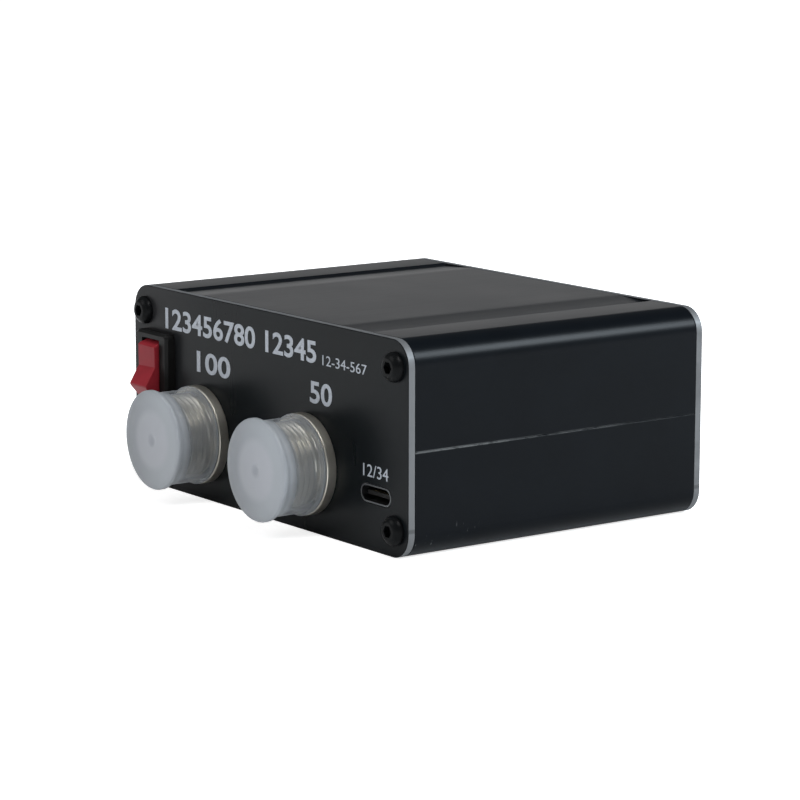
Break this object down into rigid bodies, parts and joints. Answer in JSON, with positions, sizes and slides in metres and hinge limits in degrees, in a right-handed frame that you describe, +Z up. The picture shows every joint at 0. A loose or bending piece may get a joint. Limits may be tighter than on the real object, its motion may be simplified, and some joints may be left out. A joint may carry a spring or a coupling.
{
  "type": "swr meter",
  "caption": "In-line radio meter in a split extruded case, with two threaded coaxial sockets under dust caps, a rocker switch and a charging port.",
  "frame": {"origin": "centre of the case's flat underside", "axes": "+Z up, -Y out of the socket panel, +X to the right as the socket panel is looked at"},
  "size_m": [0.088, 0.0786, 0.038],
  "materials": {
    "board_green": "solder mask",
    "cap_milky": "soft translucent plastic",
    "capacitor_tan": "ceramic",
    "case_black": "satin black coating on extruded aluminium",
    "cell_foil": "foil pouch",
    "chip_black": "moulded epoxy",
    "contact_plate": "plated brass",
    "copper": "bare copper",
    "crystal_can": "metal can",
    "diode_glass": "small glass body",
    "display_dark": "dark display glass",
    "ferrite": "pressed ferrite",
    "foam": "adhesive foam",
    "inductor_grey": "pressed powder core",
    "insulator_white": "white insulating resin",
    "lead_red": "wire insulation",
    "nickel": "bright nickel plate",
    "panel_black": "semi-gloss black panel face with a bare milled edge",
    "plug_white": "moulded white plastic",
    "port_black": "black resin",
    "port_steel": "drawn steel",
    "resistor_black": "coated ceramic",
    "screw_black": "black oxide steel",
    "spring_steel": "spring steel",
    "switch_black": "moulded black plastic",
    "switch_brass": "brass",
    "switch_red": "moulded red plastic",
    "trimmer_blue": "moulded blue plastic",
    "washer_steel": "zinc plated steel",
    "window_clear": "smoked clear acrylic",
    "wire_enamel": "enamelled copper wire"
  },
  "bodies": {
    "meter": {"antenna_contact": "contact_plate", "antenna_insulator": "insulator_white", "antenna_lock_washer": "washer_steel", "antenna_nut": "nickel", "antenna_socket_body": "nickel", "battery_cell": "cell_foil", "battery_leads": "lead_red", "battery_pad": "foam", "battery_plug": "plug_white", "bottom_shell": "case_black", "charger_chip": "chip_black", "chip_capacitors": "capacitor_tan", "chip_resistors": "resistor_black", "crystal": "crystal_can", "detector_diodes": "diode_glass", "display_board": "board_green", "display_gasket": "foam", "display_header": "port_black", "display_header_pins": "contact_plate", "display_panel": "display_dark", "display_window": "window_clear", "front_plate": "panel_black", "front_screws": "screw_black", "line_core": "ferrite", "line_link": "copper", "line_winding": "wire_enamel", "main_board": "board_green", "microcontroller": "chip_black", "port_contacts": "contact_plate", "port_shell": "port_steel", "port_tongue": "port_black", "power_inductor": "inductor_grey", "rear_plate": "panel_black", "rear_screws": "screw_black", "sense_core": "ferrite", "sense_link": "copper", "sense_winding": "wire_enamel", "switch_blades": "switch_brass", "switch_housing": "switch_black", "switch_leads": "lead_red", "switch_plug": "plug_white", "top_shell": "case_black", "transmitter_contact": "contact_plate", "transmitter_insulator": "insulator_white", "transmitter_lock_washer": "washer_steel", "transmitter_nut": "nickel", "transmitter_socket_body": "nickel", "trimmers": "trimmer_blue"},
    "rocker": {"switch_rocker": "switch_red", "switch_plunger": "insulator_white", "switch_spring": "spring_steel"},
    "lever": {"switch_lever": "switch_brass"},
    "antenna_dust_cap": {"antenna_cap": "cap_milky"},
    "transmitter_dust_cap": {"transmitter_cap": "cap_milky"}
  },
  "joints": [
    {"name": "rocker_tilt", "type": "hinge", "parent": "meter", "child": "rocker", "pos_m": [-0.03525, -0.0325, 0.0224], "axis": [1, 0, 0], "range_deg": [0, 30]},
    {"name": "lever_tilt", "type": "hinge", "parent": "meter", "child": "lever", "pos_m": [-0.03525, -0.02715, 0.0224], "axis": [1, 0, 0], "range_deg": [-16, 0]},
    {"name": "antenna_cap_pull", "type": "slide", "parent": "meter", "child": "antenna_dust_cap", "axis": [0, -1, 0], "range_m": [0, 0.02]},
    {"name": "transmitter_cap_pull", "type": "slide", "parent": "meter", "child": "transmitter_dust_cap", "axis": [0, -1, 0], "range_m": [0, 0.02]}
  ],
  "couplings": [
    {"joint": "lever_tilt", "follows": "rocker_tilt", "ratio": -0.533}
  ]
}
